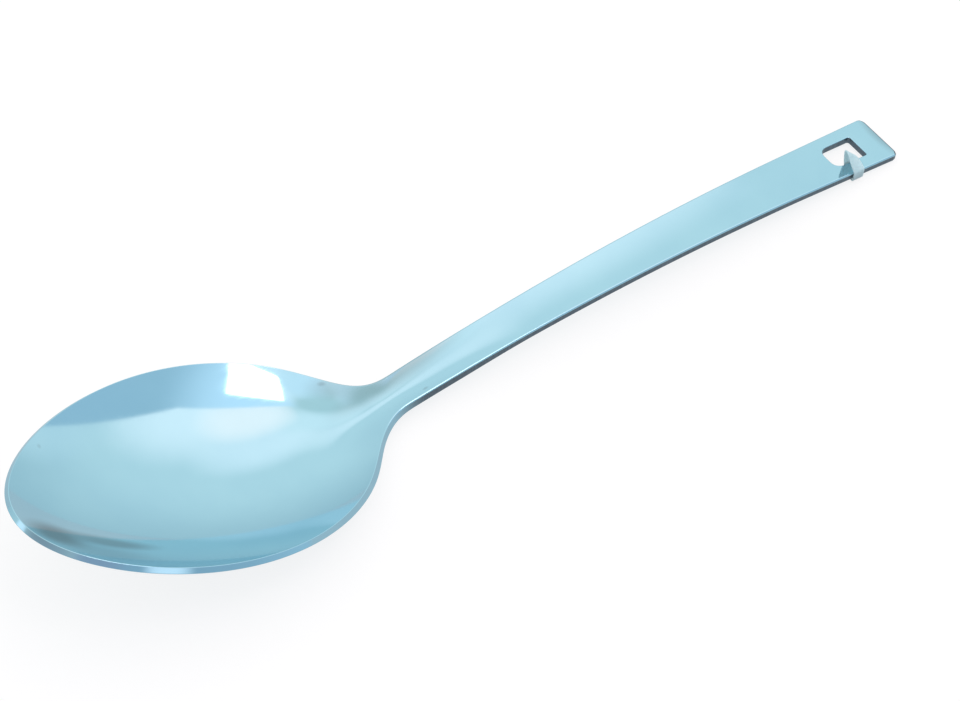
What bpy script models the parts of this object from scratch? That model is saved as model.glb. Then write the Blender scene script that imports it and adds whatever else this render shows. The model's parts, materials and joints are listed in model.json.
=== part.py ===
"""Mini spoon: one pressed steel sheet, with a tie band looped through its hang hole.

Metres, +Z up. The spoon lies as on a table, bowl up, with the handle along +X. It touches the table under the
bowl and at the end of the handle. The origin is under the middle of the whole length, on the table.
"""
import math

import bmesh
import bpy
import numpy as np
from mathutils import Matrix, Vector

# Bowl, measured along the sheet from the rim's tip
BOWL_LENGTH = 0.0669
BOWL_WIDEST = 0.0361
BOWL_WIDTH = 0.0443
BOWL_DEPTH = 0.008
BOWL_SHEET = 0.0011
EGG_PINCH = 0.063
RIM_SAG = math.radians(3.35)

# Neck: where the outline leaves the bowl and reaches the handle, and how the sheet bends up there
NECK_WIDTH = 0.00705
NECK_BEFORE_CLOSE = 0.0086
NECK_AFTER_CLOSE = 0.0086
BEND_BEFORE_CLOSE = 0.0021
BEND_AFTER_CLOSE = 0.0068
NECK_RISE = math.radians(22.75)
DISH_RUN_OUT = 0.0047
DISH_BLEND = 0.0008
FLUTE_DEPTH = 0.0006
FLUTE_LENGTH = 0.032

# Handle
HANDLE_LENGTH = 0.1139
HANDLE_SHEET = 0.0015
HANDLE_HOLLOW = 0.00016
HOLLOW_FADE = 0.018
END_WIDTH = 0.0107
END_CORNER = 0.0012
END_FLAT = 0.020
HANDLE_ARCH = math.radians(12.45)
EDGE_ROUND = 0.0002

# Hang hole: sharp corners at the end of the handle, wide ones on the bowl's side
HOLE_LENGTH = 0.0072
HOLE_WIDTH = 0.0052
HOLE_FROM_END = 0.0053
HOLE_END_CORNER = 0.0004
HOLE_BOWL_CORNER = 0.0017

# Tie band round the front limb of the hang hole, raised over the hole and folded aslant there
BAND_WIDTH = 0.0024
BAND_THICKNESS = 0.0003
BAND_CLEARANCE = 0.0002
BAND_RISE = 0.0033
BAND_CORNER = 0.0006
BAND_FOLD = math.radians(55.0)
BAND_FOLD_SPREAD = 0.6
BAND_TOP_LEAN = -0.0004
BAND_UNDER_LEAN = 0.00085
BAND_FROM_HOLE_END = 0.0044

# Mesh fineness
TIP_ROWS = 15
REAR_ROWS = 11
NECK_ROWS = 12
HANDLE_ROWS = 24
CORNER_ROWS = 5
COLUMNS = 20
ARC_STEPS = 6
BEVEL_STEPS = 2
SHARP_EDGE = math.radians(50.0)
PROFILE_SAMPLES = 1441
PITCH_HALVINGS = 60
SLOPE_STEP = 2e-5
WELD_DISTANCE = 1e-6

# Places along the sheet that follow from the sizes above
NECK_START = BOWL_LENGTH - NECK_BEFORE_CLOSE
NECK_END = BOWL_LENGTH + NECK_AFTER_CLOSE
BEND_START = BOWL_LENGTH - BEND_BEFORE_CLOSE
BEND_END = BOWL_LENGTH + BEND_AFTER_CLOSE
SHEET_LENGTH = BOWL_LENGTH + HANDLE_LENGTH
FLAT_START = SHEET_LENGTH - END_FLAT
HOLE_CENTRE = SHEET_LENGTH - HOLE_FROM_END - HOLE_LENGTH / 2
BAND_PLACE = SHEET_LENGTH - HOLE_FROM_END - BAND_FROM_HOLE_END


def ease(t):
    """Step from 0 to 1 that starts and ends without slope or curvature."""
    t = np.clip(t, 0.0, 1.0)
    return t ** 3 * (10.0 - 15.0 * t + 6.0 * t ** 2)


def egg_place(s, length):
    """Place along an egg of some length: -1 at its tip, 0 at the widest place, 1 where it closes."""
    centred = 2.0 * s / length - 1.0
    widest = 2.0 * BOWL_WIDEST / length - 1.0
    return centred - widest * (1.0 - centred ** 2) / (1.0 - widest ** 2)


def egg_half_width(s):
    """Half-width of the bowl's outline: an ellipse, shifted to an egg and pinched towards both ends."""
    place = np.clip(egg_place(s, BOWL_LENGTH), -1.0, 1.0)
    return BOWL_WIDTH / 2 * np.sqrt(1.0 - place ** 2) * (1.0 - EGG_PINCH * place ** 2)


def handle_half_width(s):
    """Half-width of the handle, which widens evenly to its end and has rounded end corners."""
    share = (s - NECK_END) / (SHEET_LENGTH - NECK_END)
    half = (NECK_WIDTH + (END_WIDTH - NECK_WIDTH) * np.clip(share, 0.0, 1.0)) / 2
    into_corner = np.clip(s - (SHEET_LENGTH - END_CORNER), 0.0, END_CORNER)
    return half - END_CORNER + np.sqrt(END_CORNER ** 2 - into_corner ** 2)


def neck_half_width(s):
    """Curve that leaves the bowl and meets the handle with their own slopes and curvatures."""
    span = NECK_END - NECK_START
    before, near, start = egg_half_width(NECK_START - SLOPE_STEP * np.array([2.0, 1.0, 0.0]))
    start_slope = (3 * start - 4 * near + before) / (2 * SLOPE_STEP) * span
    start_turn = (start - 2 * near + before) / SLOPE_STEP ** 2 * span ** 2
    end = NECK_WIDTH / 2
    end_slope = (END_WIDTH - NECK_WIDTH) / 2 / (SHEET_LENGTH - NECK_END) * span
    t = np.clip((s - NECK_START) / span, 0.0, 1.0)
    return (start + (end - start) * ease(t) + start_slope * (t - 6 * t ** 3 + 8 * t ** 4 - 3 * t ** 5)
            + start_turn * (t ** 2 - 3 * t ** 3 + 3 * t ** 4 - t ** 5) / 2
            + end_slope * (7 * t ** 4 - 4 * t ** 3 - 3 * t ** 5))


def half_width(s):
    """Half-width of the flat blank at each place along the sheet."""
    narrow = np.where(s < NECK_END, neck_half_width(s), handle_half_width(s))
    return np.where(s < NECK_START, egg_half_width(s), narrow)


def edge_angle(s):
    """Slope of the sheet's edge, from the bowl's rim plane, at each place along the sheet."""
    bend = ease((s - BEND_START) / (BEND_END - BEND_START))
    sag = RIM_SAG * np.clip((s - BOWL_WIDEST) / BOWL_WIDEST, -1.0, 1.0) * (1.0 - bend)
    arch = np.clip((s - BEND_END) / (FLAT_START - BEND_END), 0.0, 1.0)
    return NECK_RISE * bend + sag - HANDLE_ARCH * arch


def flute_depth(s):
    """Depth of the flute behind the bowl, and of the slight hollow that it leaves in the handle."""
    rise = ease((s - BOWL_WIDEST) / (BOWL_LENGTH - BOWL_WIDEST))
    flute = (FLUTE_DEPTH - HANDLE_HOLLOW) * (1.0 - ease((s - BOWL_LENGTH) / FLUTE_LENGTH))
    hollow = HANDLE_HOLLOW * (1.0 - ease((s - FLAT_START + HOLLOW_FADE) / HOLLOW_FADE))
    return (flute + hollow) * rise


def dish_depth(s):
    """Depth of the pressing on the centre line: the bowl, running out softly into the flute in the neck."""
    flute = flute_depth(s)
    below_flute = BOWL_DEPTH * (1.0 - egg_place(s, BOWL_LENGTH + DISH_RUN_OUT) ** 2) - flute
    softness = DISH_BLEND * ease((s - BOWL_WIDEST) / (BOWL_LENGTH - BOWL_WIDEST))
    run_out = 1.0 - ease((s - NECK_END) / FLUTE_LENGTH)
    return flute + run_out * (below_flute + np.sqrt(below_flute ** 2 + softness ** 2)) / 2


def sheet_thickness(s):
    """The sheet is drawn thinner in the bowl than in the handle."""
    return BOWL_SHEET + (HANDLE_SHEET - BOWL_SHEET) * ease((s - BOWL_WIDEST) / (NECK_END - BOWL_WIDEST))


def edge_line(s, pitch):
    """X, Z and slope of the sheet's edge, from the rim's tip, with the spoon pitched by an angle."""
    slope = edge_angle(s) + pitch
    step = np.diff(s)
    x = np.concatenate([[0.0], np.cumsum((np.cos(slope[1:]) + np.cos(slope[:-1])) / 2 * step)])
    z = np.concatenate([[0.0], np.cumsum((np.sin(slope[1:]) + np.sin(slope[:-1])) / 2 * step)])
    return x, z, slope


def centre_lines(s, pitch):
    """Centre line of the upper face and of the underside, each as X and Z."""
    x, z, slope = edge_line(s, pitch)
    depth = dish_depth(s)
    top_x = x + depth * np.sin(slope)
    top_z = z - depth * np.cos(slope)
    run = np.hypot(np.gradient(top_x), np.gradient(top_z))
    under_x = top_x + sheet_thickness(s) * np.gradient(top_z) / run
    under_z = top_z - sheet_thickness(s) * np.gradient(top_x) / run
    return top_x, top_z, under_x, under_z


def resting_pitch(s):
    """Pitch at which the bowl's underside and the handle's end are equally low."""
    low, high = -math.pi / 4, math.pi / 4
    in_bowl = s < NECK_END
    for _ in range(PITCH_HALVINGS):
        pitch = (low + high) / 2
        under_z = centre_lines(s, pitch)[3]
        if under_z[in_bowl].min() < under_z[~in_bowl].min():
            high = pitch
        else:
            low = pitch
    return pitch


class Sheet:
    """The pressed sheet at rest: places on it by distance along it and share of its half-width."""

    def __init__(self):
        self.s = np.linspace(0.0, SHEET_LENGTH, PROFILE_SAMPLES)
        pitch = resting_pitch(self.s)
        self.x, self.z, self.slope = edge_line(self.s, pitch)
        top_x, _, under_x, under_z = centre_lines(self.s, pitch)
        reach = np.concatenate([self.x, top_x, under_x])
        self.x = self.x - (reach.min() + reach.max()) / 2
        self.z = self.z - under_z.min()

    def frame(self, s):
        """Edge point on the centre plane, direction along the sheet, and upward normal."""
        x, z, slope = (np.interp(s, self.s, line) for line in (self.x, self.z, self.slope))
        along = Vector((math.cos(slope), 0.0, math.sin(slope)))
        normal = Vector((-math.sin(slope), 0.0, math.cos(slope)))
        return Vector((x, 0.0, z)), along, normal

    def point(self, s, share):
        """Point of the upper face at a share of the half-width, from -1 at the front to 1 at the back."""
        edge, _, normal = self.frame(s)
        depth = float(dish_depth(np.float64(s))) * (1.0 - share ** 2)
        return edge + Vector((0.0, share * float(half_width(np.float64(s))), 0.0)) - normal * depth


def clear_scene():
    """Remove every object, so that the script can be run again."""
    for thing in list(bpy.data.objects):
        bpy.data.objects.remove(thing, do_unlink=True)


def make_collection(name):
    """New collection in the scene."""
    collection = bpy.data.collections.new(name)
    bpy.context.scene.collection.children.link(collection)
    return collection


def make_material(name, colour, roughness, metallic):
    """Principled material with one colour."""
    material = bpy.data.materials.new(name)
    material.use_nodes = True
    shader = material.node_tree.nodes["Principled BSDF"]
    shader.inputs["Base Color"].default_value = (*colour, 1.0)
    shader.inputs["Roughness"].default_value = roughness
    shader.inputs["Metallic"].default_value = metallic
    return material


def rounded_outline(corners):
    """Points of a polygon with round corners, from (x, y, radius) in anticlockwise order."""
    points = []
    for index, (x, y, radius) in enumerate(corners):
        here = Vector((x, y))
        back = (Vector(corners[index - 1][:2]) - here).normalized()
        ahead = (Vector(corners[(index + 1) % len(corners)][:2]) - here).normalized()
        half_angle = back.angle(ahead) / 2
        centre = here + (back + ahead).normalized() * radius / math.sin(half_angle)
        first = here + back * radius / math.tan(half_angle) - centre
        turn = math.pi - 2 * half_angle
        for step in range(ARC_STEPS + 1):
            points.append(centre + Matrix.Rotation(turn * step / ARC_STEPS, 2) @ first)
    return points


def outline_curve(name, points, collection):
    """Closed curve through flat points, in its own XY plane."""
    curve = bpy.data.curves.new(name, "CURVE")
    spline = curve.splines.new("POLY")
    spline.points.add(len(points) - 1)
    for slot, point in zip(spline.points, points):
        slot.co = (point.x, point.y, 0.0, 1.0)
    spline.use_cyclic_u = True
    thing = bpy.data.objects.new(name, curve)
    collection.objects.link(thing)
    return thing


def mesh_from_curve(thing, collection):
    """Replace a curve object by a welded mesh object of the same name and place."""
    name = thing.name
    bpy.context.view_layer.update()
    evaluated = thing.evaluated_get(bpy.context.evaluated_depsgraph_get())
    mesh = bpy.data.meshes.new_from_object(evaluated)
    place = thing.matrix_world.copy()
    bpy.data.objects.remove(thing, do_unlink=True)
    work = bmesh.new()
    work.from_mesh(mesh)
    bmesh.ops.remove_doubles(work, verts=work.verts, dist=WELD_DISTANCE)
    bmesh.ops.recalc_face_normals(work, faces=work.faces)
    work.to_mesh(mesh)
    work.free()
    solid = bpy.data.objects.new(name, mesh)
    solid.matrix_world = place
    collection.objects.link(solid)
    return solid


def sheet_stations():
    """Places of the mesh rows along the sheet, closer together where the outline turns."""
    tip = BOWL_WIDEST * (1.0 - np.cos(np.linspace(0.0, math.pi / 2, TIP_ROWS + 1)))
    rear = np.linspace(BOWL_WIDEST, NECK_START, REAR_ROWS + 1)
    neck = np.linspace(NECK_START, NECK_END, NECK_ROWS + 1)
    handle = np.linspace(NECK_END, FLAT_START, HANDLE_ROWS + 1)
    corner_turn = np.linspace(0.0, math.pi / 2, CORNER_ROWS + 1)
    corner = SHEET_LENGTH - END_CORNER * (1.0 - np.sin(corner_turn))
    return np.concatenate([tip, rear[1:], neck[1:], handle[1:], corner])


def pressed_sheet(sheet):
    """Upper face of the spoon: a flat grid moved onto the pressed form, closed to a point at the tip."""
    stations = sheet_stations()
    rows = len(stations) - 1
    work = bmesh.new()
    bmesh.ops.create_grid(work, x_segments=rows, y_segments=COLUMNS, size=0.5)
    layer = work.verts.layers.deform.verify()
    for vert in work.verts:
        s = float(stations[round((vert.co.x + 0.5) * rows)])
        share = vert.co.y * 2
        vert[layer][0] = float(sheet_thickness(np.float64(s))) / max(BOWL_SHEET, HANDLE_SHEET)
        vert.co = sheet.point(s, share)
    bmesh.ops.remove_doubles(work, verts=work.verts, dist=WELD_DISTANCE)
    bmesh.ops.recalc_face_normals(work, faces=work.faces)
    if sum(face.normal.z for face in work.faces) < 0.0:
        bmesh.ops.reverse_faces(work, faces=work.faces)
    mesh = bpy.data.meshes.new("spoon")
    work.to_mesh(mesh)
    work.free()
    mesh.shade_smooth()
    return mesh


def hole_cutter(sheet, cutters):
    """Prism of the hang hole, square to the handle's flat end."""
    near, far = HOLE_LENGTH / 2, -HOLE_LENGTH / 2
    side = HOLE_WIDTH / 2
    corners = [(far, -side, HOLE_BOWL_CORNER), (near, -side, HOLE_END_CORNER),
               (near, side, HOLE_END_CORNER), (far, side, HOLE_BOWL_CORNER)]
    cutter = outline_curve("hang_hole", rounded_outline(corners), cutters)
    cutter.data.dimensions = "2D"
    cutter.data.fill_mode = "BOTH"
    cutter.data.extrude = HANDLE_SHEET * 2
    place, along, normal = sheet.frame(HOLE_CENTRE)
    across = normal.cross(along)
    cutter.matrix_world = axes_matrix(along, across, normal, place - normal * HANDLE_SHEET / 2)
    cutter = mesh_from_curve(cutter, cutters)
    cutter.hide_render = True
    cutter.display_type = "WIRE"
    return cutter


def axes_matrix(x_axis, y_axis, z_axis, origin):
    """Placement from three axes and an origin."""
    turn = Matrix((x_axis, y_axis, z_axis)).transposed()
    return Matrix.Translation(origin) @ turn.to_4x4()


def make_spoon(sheet, parts, cutters):
    """The steel sheet: pressed face, thickness, rounded edges and the punched hole."""
    spoon = bpy.data.objects.new("spoon", pressed_sheet(sheet))
    parts.objects.link(spoon)
    spoon.data.materials.append(make_material("polished_steel", (0.42, 0.66, 0.75), 0.18, 1.0))
    spoon.vertex_groups.new(name="thickness")
    shell = spoon.modifiers.new("sheet", "SOLIDIFY")
    shell.thickness = max(BOWL_SHEET, HANDLE_SHEET)
    shell.offset = -1.0
    shell.vertex_group = "thickness"
    edges = spoon.modifiers.new("edges", "BEVEL")
    edges.width = EDGE_ROUND
    edges.segments = BEVEL_STEPS
    edges.limit_method = "ANGLE"
    edges.angle_limit = SHARP_EDGE
    punch = spoon.modifiers.new("hang_hole", "BOOLEAN")
    punch.operation = "DIFFERENCE"
    punch.object = hole_cutter(sheet, cutters)
    return spoon


def limb_width():
    """Width of the steel between the hang hole and the handle's edge, where the band goes round it."""
    return float(handle_half_width(np.float64(BAND_PLACE))) - HOLE_WIDTH / 2


def band_reach():
    """Reach of the tie band's middle line from the limb's middle: to each side, below and above."""
    gap = BAND_CLEARANCE + BAND_THICKNESS / 2
    return limb_width() / 2 + gap, -HANDLE_SHEET / 2 - gap, HANDLE_SHEET / 2 + gap


def band_path():
    """Middle line of the tie band round the middle of the limb: across the handle, and up from the sheet."""
    side, under, over = band_reach()
    corner = BAND_CORNER + BAND_THICKNESS / 2
    return rounded_outline([(-side, under, corner), (side, under, corner),
                            (side, over + BAND_RISE, corner), (-side, over, corner)])


def lean_band(mesh):
    """Move the band's strand in the hole along the handle, and fold the band aslant at its top."""
    side, under, over = band_reach()
    for vert in mesh.vertices:
        inner = (vert.co.x + side) / (2 * side)
        raised = (vert.co.y - under) / (over + BAND_RISE * inner - under)
        slant = BAND_FOLD * inner * raised
        along = vert.co.z * (1.0 + BAND_FOLD_SPREAD * inner * raised)
        lean = inner * (BAND_UNDER_LEAN * (1.0 - raised) + BAND_TOP_LEAN * raised)
        vert.co.z = along * math.cos(slant) + lean
        vert.co.y -= along * math.sin(slant)


def make_hang_loop(sheet, parts):
    """Tie band: a flat strip bent into a closed loop round the limb."""
    loop = outline_curve("hang_loop", band_path(), parts)
    loop.data.dimensions = "3D"
    loop.data.fill_mode = "FULL"
    loop.data.extrude = (BAND_WIDTH - BAND_THICKNESS) / 2
    loop.data.bevel_depth = BAND_THICKNESS / 2
    loop.data.bevel_resolution = 1
    place, along, normal = sheet.frame(BAND_PLACE)
    across = normal.cross(along)
    limb_middle = place - normal * HANDLE_SHEET / 2 - across * (HOLE_WIDTH + limb_width()) / 2
    loop.matrix_world = axes_matrix(across, normal, along, limb_middle)
    loop = mesh_from_curve(loop, parts)
    lean_band(loop.data)
    loop.data.materials.append(make_material("tie_band", (0.80, 0.93, 0.96), 0.35, 0.0))
    return loop


def main():
    """Build the spoon and its tie band."""
    clear_scene()
    parts = make_collection("mini_spoon")
    cutters = make_collection("cutters")
    sheet = Sheet()
    make_spoon(sheet, parts, cutters)
    make_hang_loop(sheet, parts)


main()
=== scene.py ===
"""Looks of the mini spoon: polished pressed steel, with a pale tie band in its hang hole.

Metres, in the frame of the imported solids. The steel is laid out as a flat blank, with s along it from the
bowl's tip and y across it, and pressed by the solid's formulas, with a deeper flute behind the bowl, on a
finer mesh with rounded edges.
"""
import json
import math

import bpy
import numpy as np
from mathutils import Matrix, Vector
from mathutils.geometry import delaunay_2d_cdt


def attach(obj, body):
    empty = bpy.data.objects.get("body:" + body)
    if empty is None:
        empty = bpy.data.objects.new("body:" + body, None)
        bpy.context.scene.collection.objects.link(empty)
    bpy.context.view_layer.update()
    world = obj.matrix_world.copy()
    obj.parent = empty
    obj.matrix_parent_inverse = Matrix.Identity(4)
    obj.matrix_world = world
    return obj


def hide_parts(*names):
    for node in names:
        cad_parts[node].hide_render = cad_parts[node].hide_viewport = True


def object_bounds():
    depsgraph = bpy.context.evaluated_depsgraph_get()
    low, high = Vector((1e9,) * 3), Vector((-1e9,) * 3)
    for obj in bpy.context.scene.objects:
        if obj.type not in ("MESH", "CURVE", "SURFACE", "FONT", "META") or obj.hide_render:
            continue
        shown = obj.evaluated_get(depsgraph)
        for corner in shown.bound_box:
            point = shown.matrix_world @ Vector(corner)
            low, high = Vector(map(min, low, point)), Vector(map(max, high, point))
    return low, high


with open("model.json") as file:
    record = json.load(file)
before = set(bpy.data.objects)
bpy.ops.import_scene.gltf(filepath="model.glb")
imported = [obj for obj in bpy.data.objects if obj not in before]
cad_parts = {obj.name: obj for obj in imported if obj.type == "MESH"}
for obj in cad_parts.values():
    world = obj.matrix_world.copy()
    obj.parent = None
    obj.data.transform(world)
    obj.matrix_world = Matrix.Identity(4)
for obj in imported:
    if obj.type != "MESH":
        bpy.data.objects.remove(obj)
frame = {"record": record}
cad_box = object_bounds()

# Bowl, measured along the sheet from the rim's tip
BOWL_LENGTH = 0.0669
BOWL_WIDEST = 0.0361
BOWL_WIDTH = 0.0443
BOWL_DEPTH = 0.008
BOWL_SHEET = 0.0011
EGG_PINCH = 0.063
RIM_SAG = math.radians(3.35)
RIM_ROUND = 0.0001

# Neck before and behind the place where the bowl closes, and the bend there that lifts the handle
NECK_WIDTH = 0.00705
NECK_BEFORE_CLOSE = 0.0086
NECK_AFTER_CLOSE = 0.0086
BEND_BEFORE_CLOSE = 0.0021
BEND_AFTER_CLOSE = 0.0068
NECK_RISE = math.radians(22.75)

# Dish of the bowl, where it runs out into the neck
DISH_RUN_OUT = 0.0047
DISH_BLEND = 0.0008
DISH_FADE = 0.032

# Flute in the neck, and the soft vee that deepens it behind the bowl
FLUTE_DEPTH = 0.0006
FLUTE_PLAIN = 0.013
FLUTE_FADE = 0.022
VEE_DEPTH = 0.0009
VEE_SOFTNESS = 0.35
VEE_LENGTH = 0.018

# Handle
HANDLE_LENGTH = 0.1139
HANDLE_SHEET = 0.0015
HANDLE_HOLLOW = 0.00016
HOLLOW_FADE = 0.018
HANDLE_ROUND = 0.0003
END_ROUND = 0.0007
END_WIDTH = 0.0107
END_CORNER = 0.0012
END_FLAT = 0.020
HANDLE_ARCH = math.radians(12.45)
REST_FROM_END = 0.016

# Hang hole
HOLE_LENGTH = 0.0072
HOLE_WIDTH = 0.0052
HOLE_FROM_END = 0.0053
HOLE_END_CORNER = 0.0004
HOLE_BOWL_CORNER = 0.0017
HOLE_ROUND = 0.00015

# Tie band round the front limb of the hang hole, raised over the hole and folded aslant there
BAND_WIDTH = 0.0024
BAND_THICKNESS = 0.0003
BAND_EDGE_ROUND = 0.000135
BAND_CLEARANCE = 0.0002
BAND_RISE = 0.0033
BAND_CORNER = 0.0006
BAND_FOLD = math.radians(55.0)
BAND_FOLD_SPREAD = 0.6
BAND_TOP_LEAN = -0.0004
BAND_UNDER_LEAN = 0.00085
BAND_FROM_HOLE_END = 0.0044

# Hair's breadth that keeps the smooth underside of the sheet inside the solid's box
BOX_CLEARANCE = 2e-6

# Fineness of the meshes
LATTICE_SPACING = 0.0008
LATTICE_FROM_EDGE = LATTICE_SPACING * 0.6
EDGE_SPACING = 0.0005
HOLE_SPACING = 0.0002
BAND_SPACING = 0.0001
BAND_EDGE_SPACING = 0.00006
ROUND_STEPS = 5
ARC_STEPS = 10
PROFILE_SAMPLES = 3601
SIDE_SAMPLES = 1800
END_SAMPLES = 900

# Small steps and tolerances, and the triangulation's way of filling the whole hull of its points
SLOPE_STEP = 2e-5
SLANT_STEP = SLOPE_STEP * 5
TIP_NEAREST = 1e-7
MILLIMETRE = 0.001
TOLERANCE_MM = 1e-6
WHOLE_HULL = 0

# Camera, from a fit of the solid's outline to the photo. At azimuth 0 it looks along +Y
PHOTO_WIDTH_PX = 960
FOCAL_PX = 3302.0
SENSOR_MM = 36.0
CAMERA_TARGET = Vector((-0.002412, -0.003717, 0.008))
CAMERA_DISTANCE = 0.559588
CAMERA_AZIMUTH = -35.142
CAMERA_ELEVATION = 50.818
RIGHT_ANGLE = 90.0

# Light of the room: its lower part, sides and ceiling, and its front, low and high
LOW_LIGHT = (0.50, 0.69, 0.76)
SIDE_LIGHT = (0.82, 1.01, 1.045)
CEILING_LIGHT = (0.72, 0.91, 0.92)
FRONT_LIGHT = (0.52, 0.735, 0.87)
FRONT_TOP_LIGHT = (0.95, 1.18, 1.37)

# Heights, as sines of elevations, between which the sides, the ceiling and the upper front come in
SIDE_RISE = (-0.30, 0.63)
CEILING_RISE = (0.85, 1.0)
FRONT_TOP_RISE = (0.66, 0.93)

# Azimuth and elevation that the front's two flat walls face, and the softness of its edge and right side
FRONT_WALLS = ((-95.3, -15.0), (-113.0, 0.0))
FRONT_EDGE = (-0.012, 0.012)
FRONT_RIGHT_SIDE = (0.05, 0.25)

# Soft places of the room, far ones behind its front and near ones over it: azimuth, elevation, reach, light
FAR_PLACES = (
    (-27, 55, 34, (1.26, 1.31, 1.34)),
    (32, 61, 21, (1.15, 1.24, 1.28)),
    (78, 57, 14, (1.12, 1.22, 1.25)),
    (-15, 12, 22, (0.84, 1.02, 1.07)),
    (54, 77, 14, (1.06, 1.20, 1.23)),
    (-8, 67, 16, (1.55, 1.40, 1.36)),
)
NEAR_PLACES = (
    (-80, 69, 17, (1.20, 1.30, 1.36)),
    (-113, 73, 11, (1.00, 1.17, 1.27)),
    (-95, 5, 50, (0.38, 0.55, 0.68)),
    (-160, 12, 46, (0.38, 0.45, 0.52)),
    (-120, 29, 16, (0.40, 0.48, 0.62)),
    (-90, 24, 9, (1.05, 1.20, 1.35)),
    (156, 15, 11, (1.12, 1.30, 1.45)),
)

# Square lamp: where it stands, its side, the brightness of its surface and its roll from the camera's level
LAMP_AZIMUTH = -64.8
LAMP_ELEVATION = 68.6
LAMP_DISTANCE = 1.3
LAMP_SIDE = 0.39
LAMP_RADIANCE = 2.6
LAMP_ROLL = math.radians(-3.0)

# Noise of the materials: its detail, and the middle part of its values that is used
NOISE_DETAIL = 3.0
NOISE_RANGE = (0.30, 0.70)
SHARE_RANGE = (0.0, 1.0)

# Polished steel: two shades, clouds and polishing lines per metre along X, Y and Z, roughness and relief
STEEL_COLOUR = (0.45, 0.64, 0.725)
STEEL_BRIGHTER = (0.49, 0.68, 0.755)
STEEL_CLOUDS = (70.0, 70.0, 70.0)
STEEL_LINES = (90.0, 3000.0, 3000.0)
STEEL_ROUGHNESS = (0.05, 0.09)
STEEL_RELIEF = 2e-7

# Cut edge of the handle, likewise, where it fades in along X, and its rows of faces below the flat side
# The cut is rougher steel, and its dark colour is painted shade, for the shade and dark reflection on the
# edges
CUT_SHADED_COLOUR = (0.14, 0.155, 0.175)
CUT_SHADED_BRIGHTER = (0.20, 0.22, 0.245)
CUT_LINES = (4000.0, 4000.0, 300.0)
CUT_ROUGHNESS = (0.08, 0.33)
CUT_RELIEF = 2e-6
CUT_FADE = (-0.0215, -0.013)
CUT_ROWS_BELOW = 2

# Plastic of the tie band, likewise, and the share of light that comes through it
PLASTIC_COLOUR = (0.86, 0.96, 0.97)
PLASTIC_BRIGHTER = (0.94, 0.99, 0.99)
PLASTIC_CLOUDS = (1500.0, 1500.0, 1500.0)
PLASTIC_ROUGHNESS = (0.25, 0.40)
PLASTIC_RELIEF = 2e-6
PLASTIC_THROUGH = 0.35

# Dull specks, and painted shade: middle, direction of the long axis, half-length, half-width and strength
SPECKS_AND_PAINTED_SHADE = (
    # Painted reflection: dark patches near the bowl's front rim, where the steel mirrors the floor
    ((-0.0842, -0.0042, 0.0202), (0.73, -0.47, -0.49), 0.0070, 0.0044, 1.0),
    ((-0.0765, -0.0066, 0.0150), (0.76, -0.43, -0.49), 0.0125, 0.0024, 0.75),
    ((-0.0790, -0.0095, 0.0180), (0.76, -0.50, -0.41), 0.0120, 0.0050, 0.35),
    # Small dull specks on the bowl and the neck
    ((-0.0268, 0.0084, 0.0040), (0.85, -0.45, 0.0), 0.0011, 0.0006, 0.5),
    ((-0.0129, -0.0025, 0.0041), (1.0, 0.0, 0.0), 0.0008, 0.0004, 0.4),
    ((-0.0770, 0.0140, 0.0185), (1.0, 0.0, 0.0), 0.0006, 0.0006, 0.25),
    # Painted shade: darker across the handle's end
    ((0.0892, 0.0, 0.0012), (0.0, 1.0, 0.0), 0.0085, 0.0024, 0.5),
    # Painted reflection: the dark back half of the neck
    ((-0.0145, 0.0032, 0.0040), (0.98, 0.02, 0.18), 0.0180, 0.0034, 0.50),
    ((-0.0252, 0.0066, 0.0037), (0.80, -0.60, 0.0), 0.0065, 0.0030, 0.35),
)
SPECK_AND_SHADE_COLOUR = (0.26, 0.31, 0.33)
SPECK_AND_SHADE_FADE = (0.0, 0.8)

# Floor: its own colour evens out the cool room, and the rest of its white is its own light
FLOOR_REACH = 1.5
FLOOR_COLOUR = (0.26, 0.215, 0.21)
FLOOR_DARKER = 0.98
FLOOR_GRAIN = (300.0, 300.0, 300.0)
FLOOR_ROUGHNESS = 0.9
FLOOR_GLOSS = 0.1
FLOOR_GLOW = 0.80
FLOOR_SHADE_IN_STEEL = (0.46, 0.60, 0.66)
WHITE = (1.0, 1.0, 1.0)

# Numbers of the Mix node's colour sockets, which share their names with others
MIX_FIRST = 6
MIX_SECOND = 7
MIX_RESULT = 2

# Places along the sheet that follow from the sizes above
NECK_START = BOWL_LENGTH - NECK_BEFORE_CLOSE
NECK_END = BOWL_LENGTH + NECK_AFTER_CLOSE
BEND_START = BOWL_LENGTH - BEND_BEFORE_CLOSE
BEND_END = BOWL_LENGTH + BEND_AFTER_CLOSE
SHEET_LENGTH = BOWL_LENGTH + HANDLE_LENGTH
FLAT_START = SHEET_LENGTH - END_FLAT
HOLE_CENTRE = SHEET_LENGTH - HOLE_FROM_END - HOLE_LENGTH / 2
BAND_PLACE = SHEET_LENGTH - HOLE_FROM_END - BAND_FROM_HOLE_END


# Form of the sheet
def ease(t):
    """Step from 0 to 1 that starts and ends without slope or curvature."""
    t = np.clip(t, 0.0, 1.0)
    return t ** 3 * (10.0 - 15.0 * t + 6.0 * t ** 2)


def egg_place(s, length):
    """Place along an egg of some length: -1 at its tip, 0 at the widest place, 1 where it closes."""
    centred = 2.0 * s / length - 1.0
    widest = 2.0 * BOWL_WIDEST / length - 1.0
    return centred - widest * (1.0 - centred ** 2) / (1.0 - widest ** 2)


def egg_half_width(s):
    """Half-width of the bowl's outline: an ellipse, shifted to an egg and pinched towards both ends."""
    place = np.clip(egg_place(s, BOWL_LENGTH), -1.0, 1.0)
    return BOWL_WIDTH / 2 * np.sqrt(1.0 - place ** 2) * (1.0 - EGG_PINCH * place ** 2)


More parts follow.
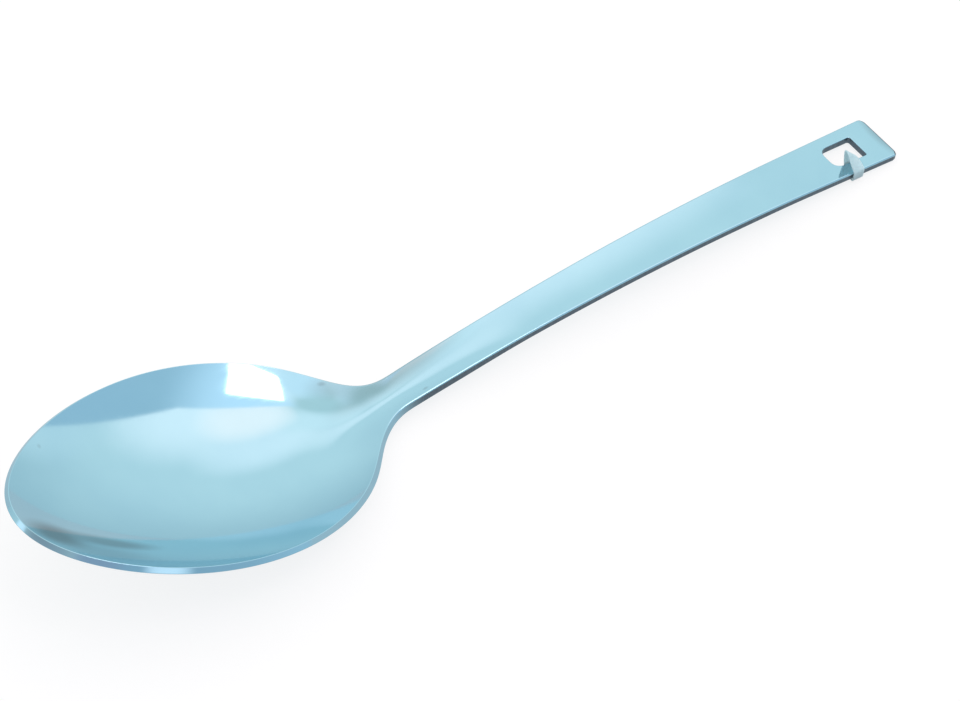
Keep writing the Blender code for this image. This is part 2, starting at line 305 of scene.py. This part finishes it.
def handle_half_width(s):
    """Half-width of the handle, which widens evenly to its end and has rounded end corners."""
    share = (s - NECK_END) / (SHEET_LENGTH - NECK_END)
    half = (NECK_WIDTH + (END_WIDTH - NECK_WIDTH) * np.clip(share, 0.0, 1.0)) / 2
    into_corner = np.clip(s - (SHEET_LENGTH - END_CORNER), 0.0, END_CORNER)
    return half - END_CORNER + np.sqrt(END_CORNER ** 2 - into_corner ** 2)


def neck_half_width(s):
    """Curve that leaves the bowl and meets the handle with their own slopes and curvatures."""
    span = NECK_END - NECK_START
    before, near, start = egg_half_width(NECK_START - SLOPE_STEP * np.array([2.0, 1.0, 0.0]))
    start_slope = (3 * start - 4 * near + before) / (2 * SLOPE_STEP) * span
    start_turn = (start - 2 * near + before) / SLOPE_STEP ** 2 * span ** 2
    end = NECK_WIDTH / 2
    end_slope = (END_WIDTH - NECK_WIDTH) / 2 / (SHEET_LENGTH - NECK_END) * span
    t = np.clip((s - NECK_START) / span, 0.0, 1.0)
    return (start + (end - start) * ease(t) + start_slope * (t - 6 * t ** 3 + 8 * t ** 4 - 3 * t ** 5)
            + start_turn * (t ** 2 - 3 * t ** 3 + 3 * t ** 4 - t ** 5) / 2
            + end_slope * (7 * t ** 4 - 4 * t ** 3 - 3 * t ** 5))


def half_width(s):
    """Half-width of the flat blank at each place along the sheet."""
    narrow = np.where(s < NECK_END, neck_half_width(s), handle_half_width(s))
    return np.where(s < NECK_START, egg_half_width(s), narrow)


def edge_angle(s):
    """Slope of the sheet's edge, from the bowl's rim plane, at each place along the sheet."""
    bend = ease((s - BEND_START) / (BEND_END - BEND_START))
    sag = RIM_SAG * np.clip((s - BOWL_WIDEST) / BOWL_WIDEST, -1.0, 1.0) * (1.0 - bend)
    arch = np.clip((s - BEND_END) / (FLAT_START - BEND_END), 0.0, 1.0)
    return NECK_RISE * bend + sag - HANDLE_ARCH * arch


def vee_share(s):
    """Share of the flute that is a soft vee and not a parabola: all of it where the bowl closes."""
    rise = ease((s - NECK_START) / (BOWL_LENGTH - NECK_START))
    return rise * (1.0 - ease((s - BOWL_LENGTH) / VEE_LENGTH))


def flute_depth(s):
    """Depth of the flute behind the bowl, and of the slight hollow that it leaves in the handle."""
    rise = ease((s - BOWL_WIDEST) / (BOWL_LENGTH - BOWL_WIDEST))
    flute = (FLUTE_DEPTH - HANDLE_HOLLOW) * (1.0 - ease((s - BOWL_LENGTH - FLUTE_PLAIN) / FLUTE_FADE))
    hollow = HANDLE_HOLLOW * (1.0 - ease((s - FLAT_START + HOLLOW_FADE) / HOLLOW_FADE))
    return (flute + hollow) * rise + (VEE_DEPTH - FLUTE_DEPTH) * vee_share(s)


def dish_depth(s):
    """Depth of the pressing on the centre line: the bowl, running out softly into the flute in the neck."""
    flute = flute_depth(s)
    below_flute = BOWL_DEPTH * (1.0 - egg_place(s, BOWL_LENGTH + DISH_RUN_OUT) ** 2) - flute
    softness = DISH_BLEND * ease((s - BOWL_WIDEST) / (BOWL_LENGTH - BOWL_WIDEST))
    run_out = 1.0 - ease((s - NECK_END) / DISH_FADE)
    return flute + run_out * (below_flute + np.sqrt(below_flute ** 2 + softness ** 2)) / 2


def hollow_share(s, across):
    """Share of the depth lost between centre line and edge: a parabola, and a soft vee in the flute."""
    bowl = across ** 2
    at_edge = math.sqrt(1.0 + VEE_SOFTNESS ** 2) - VEE_SOFTNESS
    vee = (np.sqrt(bowl + VEE_SOFTNESS ** 2) - VEE_SOFTNESS) / at_edge
    return bowl + (vee - bowl) * vee_share(s)


def sheet_thickness(s):
    """Thickness of the sheet, which is drawn thinner in the bowl."""
    thick = BOWL_SHEET + (HANDLE_SHEET - BOWL_SHEET) * ease((s - BOWL_WIDEST) / (NECK_END - BOWL_WIDEST))
    return thick - BOX_CLEARANCE


def edge_round(s):
    """Radius of the sheet's outer edges: small on the bowl's rim, wider on the handle, widest at its end."""
    handle = HANDLE_ROUND + (END_ROUND - HANDLE_ROUND) * ease((s - SHEET_LENGTH) / END_CORNER + 1.0)
    return RIM_ROUND + (handle - RIM_ROUND) * ease((s - NECK_START) / (NECK_END - NECK_START))


def unit(vectors):
    """The same directions with length 1."""
    return vectors / np.linalg.norm(vectors, axis=-1, keepdims=True)


def running_sum(rates, steps):
    """Sum of rates along a line, up to each of its places."""
    return np.concatenate([[0.0], np.cumsum((rates[1:] + rates[:-1]) / 2 * steps)])


class Sheet:
    """The pressed sheet as it rests: points of its upper face over places of the flat blank."""

    def __init__(self):
        rest = next(mount for mount in frame["record"]["mounts"] if mount["name"] == "handle_end_underside")
        up = -Vector(rest["axis"])
        rest_top = Vector(rest["pos_m"]) + up * HANDLE_SHEET
        self.s = np.linspace(0.0, SHEET_LENGTH, PROFILE_SAMPLES)
        turn = math.atan2(-up.x, up.z) - edge_angle(self.s)[-1]
        self.slope = edge_angle(self.s) + turn
        x = running_sum(np.cos(self.slope), np.diff(self.s))
        z = running_sum(np.sin(self.slope), np.diff(self.s))
        rest_place = SHEET_LENGTH - REST_FROM_END
        self.x = x + rest_top.x - np.interp(rest_place, self.s, x)
        self.z = z + rest_top.z - np.interp(rest_place, self.s, z)

    def edge(self, s):
        """X, Z and slope of the edge line at a place along the sheet."""
        return [np.interp(s, self.s, line) for line in (self.x, self.z, self.slope)]

    def face(self, blank):
        """Points of the upper face over (s, y) places of the blank."""
        s = np.maximum(blank[:, 0], TIP_NEAREST)
        y = blank[:, 1]
        x, z, slope = self.edge(s)
        depth = dish_depth(s) * (1.0 - hollow_share(s, y / half_width(s)))
        return np.stack([x + depth * np.sin(slope), y, z - depth * np.cos(slope)], axis=1)

    def slant(self, blank, heading):
        """Change of the face's points for a step of the blank along a heading."""
        step = heading * SLANT_STEP
        return (self.face(blank + step) - self.face(blank - step)) / (2 * SLANT_STEP)

    def normal(self, blank):
        """Upward normals of the face."""
        along = self.slant(blank, np.array([1.0, 0.0]))
        across = self.slant(blank, np.array([0.0, 1.0]))
        return unit(np.cross(along, across))


# Flat outlines
def spread_evenly(loop, spacing):
    """Points at even distances along a closed line."""
    closed = np.vstack([loop, loop[:1]])
    run = np.concatenate([[0.0], np.cumsum(np.linalg.norm(np.diff(closed, axis=0), axis=1))])
    count = round(run[-1] / spacing)
    places = run[-1] * np.arange(count) / count
    return np.stack([np.interp(places, run, closed[:, axis]) for axis in (0, 1)], axis=1)


def outward(loop):
    """Directions out of the steel, square to a closed line that has the steel on its left."""
    ahead = np.roll(loop, -1, axis=0) - np.roll(loop, 1, axis=0)
    return unit(np.stack([ahead[:, 1], -ahead[:, 0]], axis=1))


def rounded_outline(corners):
    """Points of a polygon with round corners, from (x, y, radius) in anticlockwise order."""
    points = []
    for index, (x, y, radius) in enumerate(corners):
        here = Vector((x, y))
        back = (Vector(corners[index - 1][:2]) - here).normalized()
        ahead = (Vector(corners[(index + 1) % len(corners)][:2]) - here).normalized()
        half_angle = back.angle(ahead) / 2
        centre = here + (back + ahead).normalized() * radius / math.sin(half_angle)
        first = here + back * radius / math.tan(half_angle) - centre
        turn = math.pi - 2 * half_angle
        for step in range(ARC_STEPS + 1):
            points.append(centre + Matrix.Rotation(turn * step / ARC_STEPS, 2) @ first)
    return np.array(points)


def blank_outline():
    """Outline of the blank, anticlockwise from the tip."""
    quarter = np.linspace(0.0, math.pi / 2, END_SAMPLES)
    tip = BOWL_WIDEST * (1.0 - np.cos(quarter))
    side = np.linspace(BOWL_WIDEST, SHEET_LENGTH - END_CORNER, SIDE_SAMPLES)
    corner = SHEET_LENGTH - END_CORNER * (1.0 - np.sin(quarter))
    s = np.concatenate([tip, side[1:], corner[1:]])
    front = np.stack([s, -half_width(s)], axis=1)
    back = front[:0:-1] * np.array([1.0, -1.0])
    return spread_evenly(np.vstack([front, back]), EDGE_SPACING)


def hole_outline():
    """Outline of the hang hole on the blank, clockwise."""
    half_length = HOLE_LENGTH / 2
    side = HOLE_WIDTH / 2
    corners = [(-half_length, -side, HOLE_BOWL_CORNER), (half_length, -side, HOLE_END_CORNER),
               (half_length, side, HOLE_END_CORNER), (-half_length, side, HOLE_BOWL_CORNER)]
    loop = rounded_outline(corners)[::-1] + np.array([HOLE_CENTRE, 0.0])
    return spread_evenly(loop, HOLE_SPACING)


def inside(points, loop):
    """Which flat points lie inside a closed line, by counting crossings."""
    odd = np.zeros(len(points), dtype=bool)
    for (x0, y0), (x1, y1) in zip(loop, np.roll(loop, -1, axis=0)):
        if y0 == y1:
            continue
        spans = (y0 > points[:, 1]) != (y1 > points[:, 1])
        odd ^= spans & (points[:, 0] < x0 + (points[:, 1] - y0) * (x1 - x0) / (y1 - y0))
    return odd


def lattice(rings):
    """Evenly spaced flat points inside the steel, a little away from its edges."""
    row_step = LATTICE_SPACING * math.sqrt(3) / 2
    columns = np.arange(-BOWL_WIDTH / 2, BOWL_WIDTH / 2, LATTICE_SPACING)
    points = []
    for row, s in enumerate(np.arange(0.0, SHEET_LENGTH, row_step)):
        shift = LATTICE_SPACING / 2 * (row % 2)
        points += [(s, y + shift) for y in columns]
    points = np.array(points)
    points = points[np.abs(points[:, 1]) < half_width(points[:, 0])]
    clear = np.full(len(points), True)
    for place in np.vstack(rings):
        clear &= np.linalg.norm(points - place, axis=1) > LATTICE_FROM_EDGE
    points = points[clear]
    return points[inside(points, rings[0]) & ~inside(points, rings[1])]


def triangulate(rings, inner):
    """Triangles between flat points, kept to the steel between its outline and the hole's, the two rings."""
    points = np.vstack([*rings, inner])
    edges = []
    first = 0
    for ring in rings:
        edges += [(first + k, first + (k + 1) % len(ring)) for k in range(len(ring))]
        first += len(ring)
    flat = [Vector(point) for point in points / MILLIMETRE]
    faces, origins = delaunay_2d_cdt(flat, edges, [], WHOLE_HULL, TOLERANCE_MM)[2:4]
    origin = np.array([sources[0] for sources in origins])
    triangles = origin[np.array(faces)]
    middles = points[triangles].mean(axis=1)
    triangles = triangles[inside(middles, rings[0]) & ~inside(middles, rings[1])]
    a, b, c = (points[triangles[:, corner]] for corner in range(3))
    clockwise = np.cross(b - a, c - a) < 0.0
    triangles[clockwise] = triangles[clockwise][:, ::-1]
    return triangles


# Meshes
class MeshUnderWay:
    """Points with normals, and faces with material numbers, gathered for one mesh."""

    def __init__(self):
        self.points = []
        self.normals = []
        self.faces = []
        self.slots = []

    def add_points(self, points, normals=None):
        """Numbers of newly added points. A mesh has normals for all of its points or for none."""
        first = len(self.points)
        self.points.extend(points.tolist())
        if normals is not None:
            self.normals.extend(normals.tolist())
        return first + np.arange(len(points))

    def add_faces(self, faces, slot):
        """Faces from rows of point numbers, with one material or one for each face."""
        self.faces.extend(np.asarray(faces).tolist())
        self.slots.extend(np.broadcast_to(slot, len(faces)).tolist())

    def add_band(self, upper, lower, slot):
        """Faces between two closed rows of points, with one material or one for each face."""
        self.add_faces(np.stack([upper, lower, np.roll(lower, -1), np.roll(upper, -1)], axis=1), slot)

    def make(self, name, materials):
        """Object with the gathered mesh."""
        mesh = bpy.data.meshes.new(name)
        mesh.from_pydata(self.points, [], self.faces)
        for material in materials:
            mesh.materials.append(material)
        mesh.polygons.foreach_set("material_index", self.slots)
        mesh.shade_smooth()
        if self.normals:
            mesh.normals_split_custom_set_from_vertices(self.normals)
        thing = bpy.data.objects.new(name, mesh)
        bpy.context.scene.collection.objects.link(thing)
        return thing


def edge_rows(sheet, loop, radius):
    """Rows of points and normals round an edge from the upper face to the underside, and the inset ring."""
    heading = outward(loop)
    stretch = np.linalg.norm(sheet.slant(loop - heading * radius[:, None], heading), axis=1)
    inset = loop - heading * (radius / stretch)[:, None]
    start = sheet.face(inset)
    up = sheet.normal(inset)
    out = unit(sheet.slant(inset, heading))
    thick = sheet_thickness(inset[:, 0])
    rows = []
    for half in (0, 1):
        for step in range(ROUND_STEPS + 1):
            turn = math.pi / 2 * step / ROUND_STEPS
            aside = math.sin(turn) if half == 0 else math.cos(turn)
            rise = math.cos(turn) if half == 0 else -math.sin(turn)
            drop = radius * (1.0 - rise) if half == 0 else thick - radius * (1.0 + rise)
            points = start + out * (radius * aside)[:, None] - up * drop[:, None]
            rows.append((points, up * rise + out * aside))
    return rows, inset


def cut_faces(ring, row):
    """Which faces of a row round an edge are cut steel: those on its side, and nearly all at the end."""
    beside = ROUND_STEPS <= row <= ROUND_STEPS + CUT_ROWS_BELOW
    start = NECK_START if beside else SHEET_LENGTH - END_CORNER
    return (ring[:, 0] > start) & (row > 0)


def steel_sheet(sheet, materials):
    """The spoon: both faces on a fine mesh, joined by rounded edges at the outline and in the hang hole."""
    outline = blank_outline()
    hole = hole_outline()
    rounded = [edge_rows(sheet, outline, edge_round(outline[:, 0])),
               edge_rows(sheet, hole, np.full(len(hole), HOLE_ROUND))]
    rings = [ring for _, ring in rounded]
    inner = lattice(rings)
    triangles = triangulate(rings, inner)
    flat = np.vstack([*rings, inner])
    up = sheet.normal(flat)
    top = sheet.face(flat)
    work = MeshUnderWay()
    upper = work.add_points(top, up)
    lower = work.add_points(top - up * sheet_thickness(flat[:, 0])[:, None], -up)
    work.add_faces(upper[triangles], 0)
    work.add_faces(lower[triangles[:, ::-1]], 0)
    first = 0
    for rows, ring in rounded:
        count = len(ring)
        numbers = [upper[first:first + count]]
        numbers += [work.add_points(points, normals) for points, normals in rows[1:-1]]
        numbers.append(lower[first:first + count])
        for place, (row, following) in enumerate(zip(numbers, numbers[1:])):
            work.add_band(row, following, cut_faces(ring, place).astype(int))
        first += count
    return work.make("steel_sheet", materials)


def limb_width():
    """Width of the steel between the hang hole and the handle's edge, where the band goes round it."""
    return float(handle_half_width(np.float64(BAND_PLACE))) - HOLE_WIDTH / 2


def band_reach():
    """Reach of the tie band's middle line from the limb's middle: to each side, below and above."""
    gap = BAND_CLEARANCE + BAND_THICKNESS / 2
    return limb_width() / 2 + gap, -HANDLE_SHEET / 2 - gap, HANDLE_SHEET / 2 + gap


def band_path():
    """Middle line of the tie band round the middle of the limb: across the handle, and up from it."""
    side, under, over = band_reach()
    corner = BAND_CORNER + BAND_THICKNESS / 2
    loop = rounded_outline([(-side, under, corner), (side, under, corner),
                            (side, over + BAND_RISE, corner), (-side, over, corner)])
    return spread_evenly(loop, BAND_SPACING)


def band_section():
    """Outline of the strip's cross-section, through its thickness and along its width, with round edges."""
    half_thick = BAND_THICKNESS / 2
    half_wide = BAND_WIDTH / 2
    places = ((-half_thick, -half_wide), (half_thick, -half_wide),
              (half_thick, half_wide), (-half_thick, half_wide))
    loop = rounded_outline([(*place, BAND_EDGE_ROUND) for place in places])
    return spread_evenly(loop, BAND_EDGE_SPACING)


def leaned(points):
    """Points of the band with its strand in the hole moved along the handle, and its top folded aslant."""
    side, under, over = band_reach()
    x, y, z = points.T
    inner = (x + side) / (2 * side)
    raised = (y - under) / (over + BAND_RISE * inner - under)
    slant = BAND_FOLD * inner * raised
    along = z * (1.0 + BAND_FOLD_SPREAD * inner * raised)
    lean = inner * (BAND_UNDER_LEAN * (1.0 - raised) + BAND_TOP_LEAN * raised)
    return np.stack([x, y - along * np.sin(slant), along * np.cos(slant) + lean], axis=1)


def tie_loop(sheet, materials):
    """The tie band: a flat strip swept round the limb."""
    path = band_path()
    section = band_section()
    x, z, slope = (float(value) for value in sheet.edge(BAND_PLACE))
    along = Vector((math.cos(slope), 0.0, math.sin(slope)))
    normal = Vector((-math.sin(slope), 0.0, math.cos(slope)))
    across = normal.cross(along)
    middle = Vector((x, 0.0, z)) - normal * HANDLE_SHEET / 2 - across * (HOLE_WIDTH + limb_width()) / 2
    axes = np.array([across, normal, along])
    work = MeshUnderWay()
    rows = []
    for point, out in zip(path, outward(path)):
        ring = np.concatenate([point + out * section[:, :1], section[:, 1:]], axis=1)
        rows.append(work.add_points(leaned(ring) @ axes + np.array(middle)))
    for row, following in zip(rows, rows[1:] + rows[:1]):
        work.add_band(row, following, 0)
    return work.make("tie_loop", materials)


# Shader nodes
def add_node(tree, kind, **values):
    """Node of a kind, with some of its settings and inputs."""
    node = tree.nodes.new(kind)
    for key, value in values.items():
        if key in node.inputs:
            node.inputs[key].default_value = value
        else:
            setattr(node, key, value)
    return node


def ranged(tree, value, old, new, interpolation="LINEAR"):
    """A value moved from one range to another, and kept in it."""
    node = add_node(tree, "ShaderNodeMapRange", interpolation_type=interpolation)
    tree.links.new(value, node.inputs["Value"])
    for key, number in zip(("From Min", "From Max", "To Min", "To Max"), (*old, *new)):
        node.inputs[key].default_value = number
    return node.outputs["Result"]


def stepped(tree, value, old, most=1.0):
    """Share that eases from 0 at one value to its most at another."""
    return ranged(tree, value, old, (0.0, most), "SMOOTHSTEP")


def combined(tree, operation, first, second):
    """Two shares joined by a product, a maximum or the like."""
    node = add_node(tree, "ShaderNodeMath", operation=operation)
    tree.links.new(first, node.inputs[0])
    tree.links.new(second, node.inputs[1])
    return node.outputs["Value"]


def mixed(tree, share, first, second):
    """Colour mixed from a first towards a second by a share."""
    node = add_node(tree, "ShaderNodeMix", data_type="RGBA")
    tree.links.new(share, node.inputs["Factor"])
    for socket, value in ((node.inputs[MIX_FIRST], first), (node.inputs[MIX_SECOND], second)):
        if isinstance(value, tuple):
            socket.default_value = (*value, 1.0)
        else:
            tree.links.new(value, socket)
    return node.outputs[MIX_RESULT]


# Materials
def new_material(name):
    """Material with its tree and main shader."""
    material = bpy.data.materials.new(name)
    material.use_nodes = True
    tree = material.node_tree
    return material, tree, tree.nodes["Principled BSDF"]


def noise(tree, scales):
    """Noise over the object's own place, with scales per metre along X, Y and Z."""
    place = add_node(tree, "ShaderNodeTexCoord")
    mapping = add_node(tree, "ShaderNodeMapping", Scale=scales)
    texture = add_node(tree, "ShaderNodeTexNoise", Scale=1.0, Detail=NOISE_DETAIL)
    tree.links.new(place.outputs["Object"], mapping.inputs["Vector"])
    tree.links.new(mapping.outputs["Vector"], texture.inputs["Vector"])
    return texture.outputs["Fac"]


def clouded(tree, value, first, second):
    """Colour that goes from a first to a second with a noise."""
    node = add_node(tree, "ShaderNodeValToRGB")
    for element, place, colour in zip(node.color_ramp.elements, NOISE_RANGE, (first, second)):
        element.position = place
        element.color = (*colour, 1.0)
    tree.links.new(value, node.inputs["Fac"])
    return node.outputs["Color"]


def bumped(tree, shader, height, distance):
    """Fine relief from a height."""
    node = add_node(tree, "ShaderNodeBump", Strength=1.0, Distance=distance)
    tree.links.new(height, node.inputs["Height"])
    tree.links.new(node.outputs["Normal"], shader.inputs["Normal"])


def speck_or_shade(tree, middle, long_axis, half_length, half_across, strength):
    """Share of a soft, drawn-out spot: its strength in the middle and 0 outside it. It places specks and
    painted shade.
    """
    place = add_node(tree, "ShaderNodeTexCoord")
    turn = Vector(long_axis).to_track_quat("X", "Z").to_euler()
    mapping = add_node(tree, "ShaderNodeMapping", vector_type="TEXTURE", Location=middle, Rotation=turn,
                       Scale=(half_length, half_across, half_across))
    spot = add_node(tree, "ShaderNodeTexGradient", gradient_type="SPHERICAL")
    tree.links.new(place.outputs["Object"], mapping.inputs["Vector"])
    tree.links.new(mapping.outputs["Vector"], spot.inputs["Vector"])
    return stepped(tree, spot.outputs["Fac"], SPECK_AND_SHADE_FADE, strength)


def polished_steel():
    """Cool polished steel, with faint clouding, polishing lines along the handle, dull specks and painted
    shade.
    """
    material, tree, shader = new_material("polished_steel_look")
    shader.inputs["Metallic"].default_value = 1.0
    cloud = noise(tree, STEEL_CLOUDS)
    lines = noise(tree, STEEL_LINES)
    colour = clouded(tree, cloud, STEEL_COLOUR, STEEL_BRIGHTER)
    # Dull specks, and painted shade: dark patches for reflections near the bowl's rim, on the neck and at
    # the end
    for sizes in SPECKS_AND_PAINTED_SHADE:
        colour = mixed(tree, speck_or_shade(tree, *sizes), colour, SPECK_AND_SHADE_COLOUR)
    tree.links.new(colour, shader.inputs["Base Color"])
    tree.links.new(ranged(tree, lines, NOISE_RANGE, STEEL_ROUGHNESS), shader.inputs["Roughness"])
    bumped(tree, shader, lines, STEEL_RELIEF)
    return material


def shaded_sheared_edge():
    """Duller steel of the cut edges, with fine lines, fading in along the neck, darkened with painted shade.
    """
    material, tree, shader = new_material("sheared_edge_look")
    shader.inputs["Metallic"].default_value = 1.0
    lines = noise(tree, CUT_LINES)
    colour = clouded(tree, lines, CUT_SHADED_COLOUR, CUT_SHADED_BRIGHTER)
    along = add_node(tree, "ShaderNodeSeparateXYZ")
    tree.links.new(add_node(tree, "ShaderNodeTexCoord").outputs["Object"], along.inputs["Vector"])
    cut = stepped(tree, along.outputs["X"], CUT_FADE)
    tree.links.new(mixed(tree, cut, STEEL_COLOUR, colour), shader.inputs["Base Color"])
    tree.links.new(ranged(tree, cut, SHARE_RANGE, CUT_ROUGHNESS), shader.inputs["Roughness"])
    bumped(tree, shader, lines, CUT_RELIEF)
    return material


def tie_plastic():
    """Pale, slightly cloudy plastic of the tie band."""
    material, tree, shader = new_material("tie_plastic_look")
    cloud = noise(tree, PLASTIC_CLOUDS)
    colour = clouded(tree, cloud, PLASTIC_COLOUR, PLASTIC_BRIGHTER)
    tree.links.new(colour, shader.inputs["Base Color"])
    tree.links.new(ranged(tree, cloud, NOISE_RANGE, PLASTIC_ROUGHNESS), shader.inputs["Roughness"])
    bumped(tree, shader, cloud, PLASTIC_RELIEF)
    through = add_node(tree, "ShaderNodeBsdfTranslucent")
    tree.links.new(colour, through.inputs["Color"])
    both = add_node(tree, "ShaderNodeMixShader", Fac=PLASTIC_THROUGH)
    tree.links.new(shader.outputs["BSDF"], both.inputs[1])
    tree.links.new(through.outputs["BSDF"], both.inputs[2])
    tree.links.new(both.outputs["Shader"], tree.nodes["Material Output"].inputs["Surface"])
    return material


def floor_paper():
    """Pale paper of the floor, with a faint grain, lit from within for the eye and for the metal."""
    material, tree, shader = new_material("floor_paper_look")
    darker = tuple(FLOOR_DARKER * part for part in FLOOR_COLOUR)
    grain = clouded(tree, noise(tree, FLOOR_GRAIN), darker, FLOOR_COLOUR)
    tree.links.new(grain, shader.inputs["Base Color"])
    shader.inputs["Roughness"].default_value = FLOOR_ROUGHNESS
    shader.inputs["Specular IOR Level"].default_value = FLOOR_GLOSS
    ray = add_node(tree, "ShaderNodeLightPath")
    shade = mixed(tree, ray.outputs["Is Glossy Ray"], WHITE, FLOOR_SHADE_IN_STEEL)
    tree.links.new(shade, shader.inputs["Emission Color"])
    seen = combined(tree, "MAXIMUM", ray.outputs["Is Camera Ray"], ray.outputs["Is Glossy Ray"])
    seen = combined(tree, "MAXIMUM", seen, ray.outputs["Is Transmission Ray"])
    tree.links.new(ranged(tree, seen, SHARE_RANGE, (0.0, FLOOR_GLOW)), shader.inputs["Emission Strength"])
    return material


# Studio
def direction_at(azimuth, elevation):
    """Direction from the object, by degrees round from +X and up from the floor."""
    a = math.radians(azimuth)
    e = math.radians(elevation)
    return Vector((math.cos(a) * math.cos(e), math.sin(a) * math.cos(e), math.sin(e)))


def facing(tree, direction, toward, amounts):
    """Share that eases from 0 to 1 between two amounts of a direction along another."""
    dot = add_node(tree, "ShaderNodeVectorMath", operation="DOT_PRODUCT")
    tree.links.new(direction, dot.inputs[0])
    dot.inputs[1].default_value = toward
    return stepped(tree, dot.outputs["Value"], amounts)


def with_places(tree, direction, colour, places):
    """Light of the room with soft places laid over it, each full in one direction and 0 beyond its reach."""
    for azimuth, elevation, reach, light in places:
        amounts = (math.cos(math.radians(reach)), 1.0)
        share = facing(tree, direction, direction_at(azimuth, elevation), amounts)
        colour = mixed(tree, share, colour, light)
    return colour


def front_share(tree, direction):
    """Share of the room's front, right of the camera, which ends along two flat walls."""
    walls = [facing(tree, direction, direction_at(*wall), FRONT_EDGE) for wall in FRONT_WALLS]
    right_side = facing(tree, direction, direction_at(CAMERA_AZIMUTH, 0.0), FRONT_RIGHT_SIDE)
    return combined(tree, "MULTIPLY", combined(tree, "MAXIMUM", *walls), right_side)


def studio_world():
    """Soft room: dim near the floor, with soft places and a front that has a straight edge."""
    world = bpy.data.worlds.new("studio")
    bpy.context.scene.world = world
    world.use_nodes = True
    tree = world.node_tree
    direction = add_node(tree, "ShaderNodeTexCoord").outputs["Generated"]
    apart = add_node(tree, "ShaderNodeSeparateXYZ")
    tree.links.new(direction, apart.inputs["Vector"])
    height = apart.outputs["Z"]
    colour = mixed(tree, stepped(tree, height, SIDE_RISE), LOW_LIGHT, SIDE_LIGHT)
    colour = mixed(tree, stepped(tree, height, CEILING_RISE), colour, CEILING_LIGHT)
    colour = with_places(tree, direction, colour, FAR_PLACES)
    front = mixed(tree, stepped(tree, height, FRONT_TOP_RISE), FRONT_LIGHT, FRONT_TOP_LIGHT)
    colour = mixed(tree, front_share(tree, direction), colour, front)
    colour = with_places(tree, direction, colour, NEAR_PLACES)
    tree.links.new(colour, tree.nodes["Background"].inputs["Color"])


def front_lamp():
    """Square lamp that faces the object."""
    lamp = bpy.data.lights.new("front_lamp", "AREA")
    lamp.size = LAMP_SIDE
    lamp.energy = LAMP_RADIANCE * math.pi * LAMP_SIDE ** 2
    thing = bpy.data.objects.new("front_lamp", lamp)
    toward = direction_at(LAMP_AZIMUTH, LAMP_ELEVATION)
    upward = toward.cross(direction_at(CAMERA_AZIMUTH, 0.0)).normalized()
    level = Matrix((upward.cross(toward), upward, toward)).transposed()
    turn = Matrix.Rotation(LAMP_ROLL, 3, toward) @ level
    thing.matrix_world = Matrix.Translation(toward * LAMP_DISTANCE) @ turn.to_4x4()
    bpy.context.scene.collection.objects.link(thing)


def floor():
    """Wide floor under the spoon."""
    z = cad_box[0].z
    mesh = bpy.data.meshes.new("floor")
    signs = ((-1, -1), (1, -1), (1, 1), (-1, 1))
    corners = [(x * FLOOR_REACH, y * FLOOR_REACH, z) for x, y in signs]
    mesh.from_pydata(corners, [], [(0, 1, 2, 3)])
    mesh.materials.append(floor_paper())
    thing = bpy.data.objects.new("floor", mesh)
    bpy.context.scene.collection.objects.link(thing)


def camera():
    """Camera at the photo's angle."""
    lens = bpy.data.cameras.new("camera")
    lens.sensor_width = SENSOR_MM
    lens.lens = FOCAL_PX * SENSOR_MM / PHOTO_WIDTH_PX
    thing = bpy.data.objects.new("camera", lens)
    back = direction_at(CAMERA_AZIMUTH - RIGHT_ANGLE, CAMERA_ELEVATION)
    thing.location = CAMERA_TARGET + back * CAMERA_DISTANCE
    thing.rotation_mode = "QUATERNION"
    thing.rotation_quaternion = back.to_track_quat("Z", "Y")
    bpy.context.scene.collection.objects.link(thing)
    bpy.context.scene.camera = thing


def main():
    """Build the pieces and the studio."""
    sheet = Sheet()
    spoon = steel_sheet(sheet, [polished_steel(), shaded_sheared_edge()])
    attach(spoon, "spoon")
    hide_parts("spoon")
    band = tie_loop(sheet, [tie_plastic()])
    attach(band, "hang_loop")
    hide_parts("hang_loop")
    floor()
    studio_world()
    front_lamp()
    camera()
    bpy.context.scene.view_settings.view_transform = "Standard"


main()
